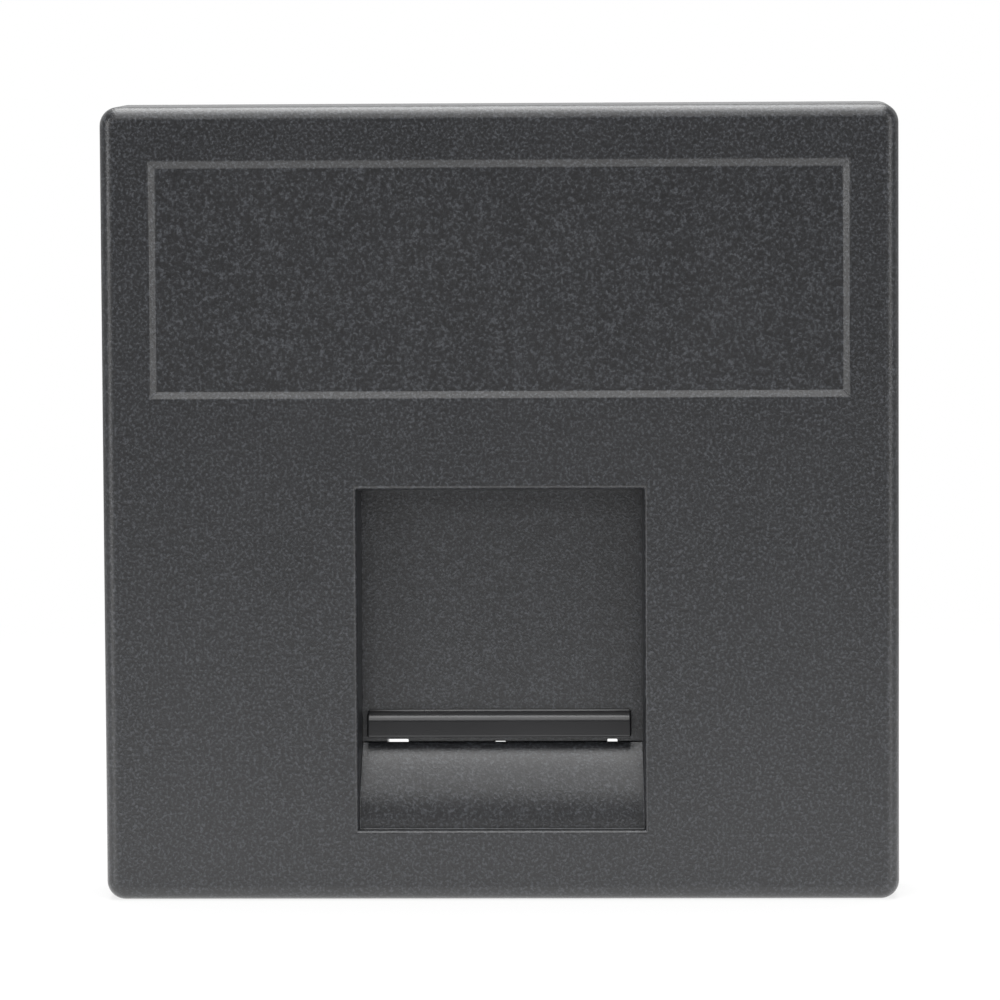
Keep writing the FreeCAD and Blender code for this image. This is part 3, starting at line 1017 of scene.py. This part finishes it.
@dataclass
class DustShutter(SubAssembly):
    """The sliding shutter: a grained panel with vents, and a polished lip for a fingernail."""

    half: float = 9.2
    front: float = 2.65
    back: float = 4.8
    bottom: float = -14.3
    top: float = 2.0
    corner: float = 0.6
    pocket_rim: float = 1.6
    pocket: float = 1.2
    tongue_half: float = 0.65
    tongue_front: float = 3.65
    tongue_top: float = 4.2
    tongue_tip: float = 0.3
    lip: Pair = (-7.705, 7.325)
    lip_front: float = 1.8
    lip_draft: float = 0.08
    lip_bottom: float = -13.42
    lip_top: float = -12.03
    lip_crown: float = 0.5
    lip_root: float = 0.16
    lip_edge: float = 0.12
    vents: tuple[Triple, ...] = (
        (-5.98, 1.2, -13.6), (-0.15, 0.65, -13.72), (6.23, 0.6, -13.61))
    fine_radius: float = 0.06

    def build(self) -> list[Piece]:
        """Moulds the panel and the lip and dresses them.

        Returns:
            The panel and the lip.
        """
        panel = self.build_panel()
        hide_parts("shutter")
        # The shutter's tip tone is painted pale as glints on its grain's peaks.
        dress(panel, Body.SHUTTER,
              SparkErodedPlastic("spark-eroded graphite ABS, shutter", tip="#3a3c40",
                                 grain=0.13 * MM).make())
        lip = self.build_lip()
        dress(lip, Body.SHUTTER,
              PolishedPlastic("polished graphite ABS, lip").make())
        return [panel, lip]

    def build_panel(self) -> Piece:
        """Insets the pocket into the back of a block, rounds its corners and cuts the vents.

        Returns:
            The panel.
        """
        solid = self.block((-self.half, self.half), (self.front, self.back),
                           (self.bottom, self.top))
        rear = max(solid.faces, key=lambda face: face.calc_center_median().y)
        bmesh.ops.inset_region(solid, faces=[rear], thickness=self.pocket_rim * MM)
        floor = bmesh.ops.extrude_discrete_faces(solid, faces=[rear])["faces"]
        bmesh.ops.translate(solid, verts=floor[0].verts, vec=(0, -self.pocket * MM, 0))
        bmesh.ops.recalc_face_normals(solid, faces=solid.faces)
        soften(solid, edges_along(solid, Along.DEPTH), self.corner, 6)
        tongue = self.block((-self.tongue_half, self.tongue_half), (self.tongue_front, self.back),
                            (self.top - PAST, self.tongue_top))
        tip = [edge for edge in edges_along(tongue, Along.DEPTH)
               if edge.verts[0].co.z > self.top * MM]
        soften(tongue, tip, self.tongue_tip, 1)
        shutter = Moulding("shutter_panel", solid)
        shutter.join([tongue])
        shutter.carve([
            self.block((centre - width / 2, centre + width / 2),
                       (self.front - PAST, self.back + PAST), (self.bottom - PAST, top))
            for centre, width, top in self.vents
        ])
        shutter.soften_sharp(self.fine_radius)
        return shutter.release()

    def build_lip(self) -> Piece:
        """Rounds the lip's section at its crown and root, then draws it out across the panel.

        Returns:
            The lip.
        """
        buried = self.front + SUNK
        solid = bmesh.new()
        for depth, z in ((buried, self.lip_top + self.lip_root),
                         (self.front, self.lip_top + self.lip_root), (self.front, self.lip_top),
                         (self.lip_front + self.lip_draft, self.lip_top),
                         (self.lip_front, self.lip_bottom), (buried, self.lip_bottom)):
            solid.verts.new(self.at(self.lip[0], depth, z))
        solid.faces.new(solid.verts)
        solid.verts.ensure_lookup_table()
        # The root's round stops just short of the next corner, so that the two stay apart.
        for corner, radius, steps in ((solid.verts[3], self.lip_crown, 14),
                                      (solid.verts[2], self.lip_root * 0.999, 8),
                                      (solid.verts[4], self.lip_edge, 4)):
            bmesh.ops.bevel(solid, geom=[corner], offset=radius * MM, segments=steps,
                            profile=0.5, affect="VERTICES", material=-1)
        solid.faces.ensure_lookup_table()
        draw_out(solid, solid.faces[0], Along.WIDTH, self.lip)
        ends = [edge for level in self.lip for edge in edges_on(solid, level * MM, 0)]
        soften(solid, ends, self.lip_edge, 3)
        return Moulding("shutter_lip", solid).release()


@dataclass
class KeystoneCarrier(SubAssembly):
    """The inner moulding: a flange, the port with its two ledges, and the spring's tunnel."""

    flange: Pair = (5.0, 6.2)
    flange_half: float = 11.0
    flange_span: Pair = (-20.2, 20.3)
    flange_corner: float = 1.0
    rear_start: float = 5.4
    port_half: float = 7.4
    port_wall: float = 1.3
    port_corner: float = 0.8
    port_back: float = 16.0
    port_span: Pair = (-16.25, 3.15)
    jack_span: Pair = (-15.05, 1.35)
    sill: float = -14.0
    catch_half: float = 5.5
    catch: Pair = (10.8, 14.4)
    web_levels: Triple = (-15.2, -5.0, 2.0)
    web_rise: float = 4.2
    web_half: float = 0.5
    axis: float = 4.225
    bore: float = 1.6
    bore_span: Pair = (1.9, 19.6)
    tunnel_wall: float = 1.0
    pilot: Pair = (0.72, 18.0)
    tab: Pair = (2.6, 6.0)
    tab_half: float = 1.5
    peg: Pair = (8.9, 17.6)
    peg_hole: float = 0.9
    fine_radius: float = 0.06

    def build(self) -> list[Piece]:
        """Moulds the carrier and dresses it.

        Returns:
            The carrier.
        """
        carrier = Moulding("carrier_moulding", self.flange_plate())
        carrier.join([self.port(), self.tunnel()] + self.webs())
        carrier.carve(self.openings())
        carrier.join(self.spring_seat())
        carrier.soften_sharp(self.fine_radius)
        piece = carrier.release()
        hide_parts("keystone_carrier")
        dress(piece, Body.FACEPLATE,
              PolishedPlastic("satin black polycarbonate, carrier", base="#2a2a2b",
                              flow_tone="#303031", gloss=(0.32, 0.41)).make())
        return [piece]

    def flange_plate(self) -> BMesh:
        """Makes the flange that lies on the plate's guides.

        Returns:
            The flange.
        """
        solid = self.block((-self.flange_half, self.flange_half), self.flange, self.flange_span)
        soften(solid, edges_along(solid, Along.DEPTH), self.flange_corner, 8)
        return solid

    def port(self) -> BMesh:
        """Makes the port's outside.

        Returns:
            The port, still solid.
        """
        reach = self.port_half + self.port_wall
        solid = self.block((-reach, reach), (self.rear_start, self.port_back),
                           (self.port_span[0] - self.port_wall,
                            self.port_span[1] + self.port_wall))
        soften(solid, edges_along(solid, Along.DEPTH), self.port_corner, 6)
        return solid

    def round_bar(self, radius: float, span: Pair) -> BMesh:
        """Makes a round bar on the spring's axis.

        Args:
            radius: its radius.
            span: lower and upper end.

        Returns:
            The bar.
        """
        solid = bmesh.new()
        bmesh.ops.create_cone(solid, segments=48, radius1=radius * MM, radius2=radius * MM,
                              depth=(span[1] - span[0]) * MM, cap_ends=True)
        bmesh.ops.translate(solid, verts=solid.verts, vec=self.at(0, self.axis, sum(span) / 2))
        return solid

    def tunnel(self) -> BMesh:
        """Makes the bulge over the spring, cut level with the front of the flange.

        Returns:
            The bulge.
        """
        solid = self.round_bar(self.bore + self.tunnel_wall,
                               (self.port_span[1], self.flange_span[1]))
        cut_off(solid, self.at(0, self.rear_start, 0), -Along.DEPTH.value)
        bmesh.ops.recalc_face_normals(solid, faces=solid.faces)
        return solid

    def webs(self) -> list[BMesh]:
        """Makes the triangular webs between the port's sides and the flange.

        Returns:
            The webs.
        """
        side, back = self.port_half + self.port_wall, self.flange[1]
        web = [(side - SUNK, back - SUNK), (self.flange_half, back - SUNK),
               (self.flange_half, back), (side, back + self.web_rise),
               (side - SUNK, back + self.web_rise)]
        return self.ribs(web, self.web_levels, self.web_half)

    def openings(self) -> list[BMesh]:
        """Makes the spaces of the port, its mouth and catches, the tunnel and the peg holes.

        Returns:
            The spaces.
        """
        half, (front, back) = self.port_half, self.flange
        low, high = self.jack_span
        hollow = self.block((-half, half), (back, self.port_back + PAST), self.port_span)
        mouth = self.prism([(front - PAST, self.sill), (front, self.sill), (back, low),
                            (back + PAST, low), (back + PAST, high), (front - PAST, high)],
                           Along.WIDTH, (-half, half))
        roof = self.port_span[1] + self.port_wall + PAST
        catches = self.block((-self.catch_half, self.catch_half), self.catch,
                             (self.flange_span[0], roof))
        bore = self.round_bar(self.bore, self.bore_span)
        return [hollow, mouth, catches, bore] + [
            self.rod(side.value * self.peg[0], self.peg[1], self.peg_hole,
                     (front - PAST, back + PAST)) for side in Side
        ]

    def spring_seat(self) -> list[BMesh]:
        """Makes the tab that the spring pushes against, with its pilot.

        Returns:
            The two solids.
        """
        radius, start = self.pilot
        tab = self.block((-self.tab_half, self.tab_half), self.tab,
                         (self.bore_span[1], self.flange_span[1]))
        return [tab, self.round_bar(radius, (start, self.bore_span[1] + SUNK))]


@dataclass
class ReturnSpring:
    """The compression spring: round wire with closed ends that are ground flat."""

    low: Vector
    high: Vector
    wire: float = 0.3
    sides: int = 12
    steps: int = 28
    open_turns: float = 7.0
    end_turns: float = 1.25
    end_pitch: float = 1.04
    end_centre: float = 0.25

    def build(self) -> list[Piece]:
        """Coils the wire, grinds its ends and dresses it.

        Returns:
            The spring.
        """
        middle = (self.low + self.high) / 2
        wire = self.wire * MM
        coil = (self.high.x - self.low.x) / 2 - wire / 2
        # The end turns nearly touch, and are ground down to a quarter of the wire.
        closed = self.end_pitch * wire
        ground = wire * self.end_centre
        rise = self.high.z - self.low.z - 2 * self.end_turns * closed - 2 * ground
        solid = bmesh.new()
        bmesh.ops.create_circle(solid, segments=self.sides, radius=wire / 2)
        bmesh.ops.rotate(solid, verts=solid.verts, matrix=Matrix.Rotation(math.pi / 2, 3, "X"))
        bmesh.ops.translate(solid, verts=solid.verts, vec=(coil, 0, self.low.z + ground))
        section = solid.verts[:] + solid.edges[:]
        end = (self.end_turns, closed)
        for turns, pitch in (end, (self.open_turns, rise / self.open_turns), end):
            section = bmesh.ops.spin(
                solid, geom=section, cent=(0, 0, 0), axis=(0, 0, 1),
                dvec=(0, 0, pitch / self.steps), angle=math.tau * turns,
                steps=round(turns * self.steps))["geom_last"]
        bmesh.ops.remove_doubles(solid, verts=solid.verts, dist=1e-8)
        fill_holes(solid)
        bmesh.ops.recalc_face_normals(solid, faces=solid.faces)
        for level, way in ((self.low.z, -1), (self.high.z, 1)):
            cut_off(solid, Vector((0, 0, level)), way * Along.HEIGHT.value)
        bmesh.ops.translate(solid, verts=solid.verts, vec=(middle.x, middle.y, 0))
        spring = finished(solid, "return_spring")
        shade(spring)
        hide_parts("shutter_spring")
        dress(spring, Body.FACEPLATE, DrawnSteel().make())
        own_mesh(spring)
        return [spring]


def finished(mesh: BMesh, name: str) -> Piece:
    """Turns a bmesh into a linked object at the origin.

    Args:
        mesh: the bmesh, which is freed.
        name: the object's name.

    Returns:
        The new object.
    """
    data = bpy.data.meshes.new(name)
    mesh.to_mesh(data)
    mesh.free()
    piece = bpy.data.objects.new(name, data)
    bpy.context.scene.collection.objects.link(piece)
    return piece


def shade(piece: Piece) -> None:
    """Shades a piece smoothly, but for its sharp edges."""
    piece.data.shade_smooth()
    piece.data.set_sharp_from_angle(angle=SHARP)


def dress(piece: Piece, body: Body, finish: Material) -> None:
    """Gives a piece its finish, and lets it ride on its body.

    Args:
        piece: the new piece.
        body: the body that carries it.
        finish: the material.
    """
    piece.data.materials.clear()
    piece.data.materials.append(finish)
    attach(piece, body.value)


def main() -> None:
    """Builds the camera, the studio and each sub-assembly of the faceplate in order."""
    logging.basicConfig(level=logging.INFO, format="%(name)s: %(message)s")
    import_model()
    bpy.context.scene.view_settings.view_transform = "Standard"
    plate_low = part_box("front_plate")[0]
    ProductCamera().build()
    Studio(floor_level=plate_low[2]).build()
    face = plate_low[1]
    spring_low, spring_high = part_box("shutter_spring")
    for assembly in (FrontPlate(face), DustShutter(face), KeystoneCarrier(face),
                     ReturnSpring(Vector(spring_low), Vector(spring_high))):
        for piece in assembly.build():
            LOG.info("%s: %s, %d faces", type(assembly).__name__, piece.name,
                     len(piece.data.polygons))


if __name__ == "__main__":
    main()
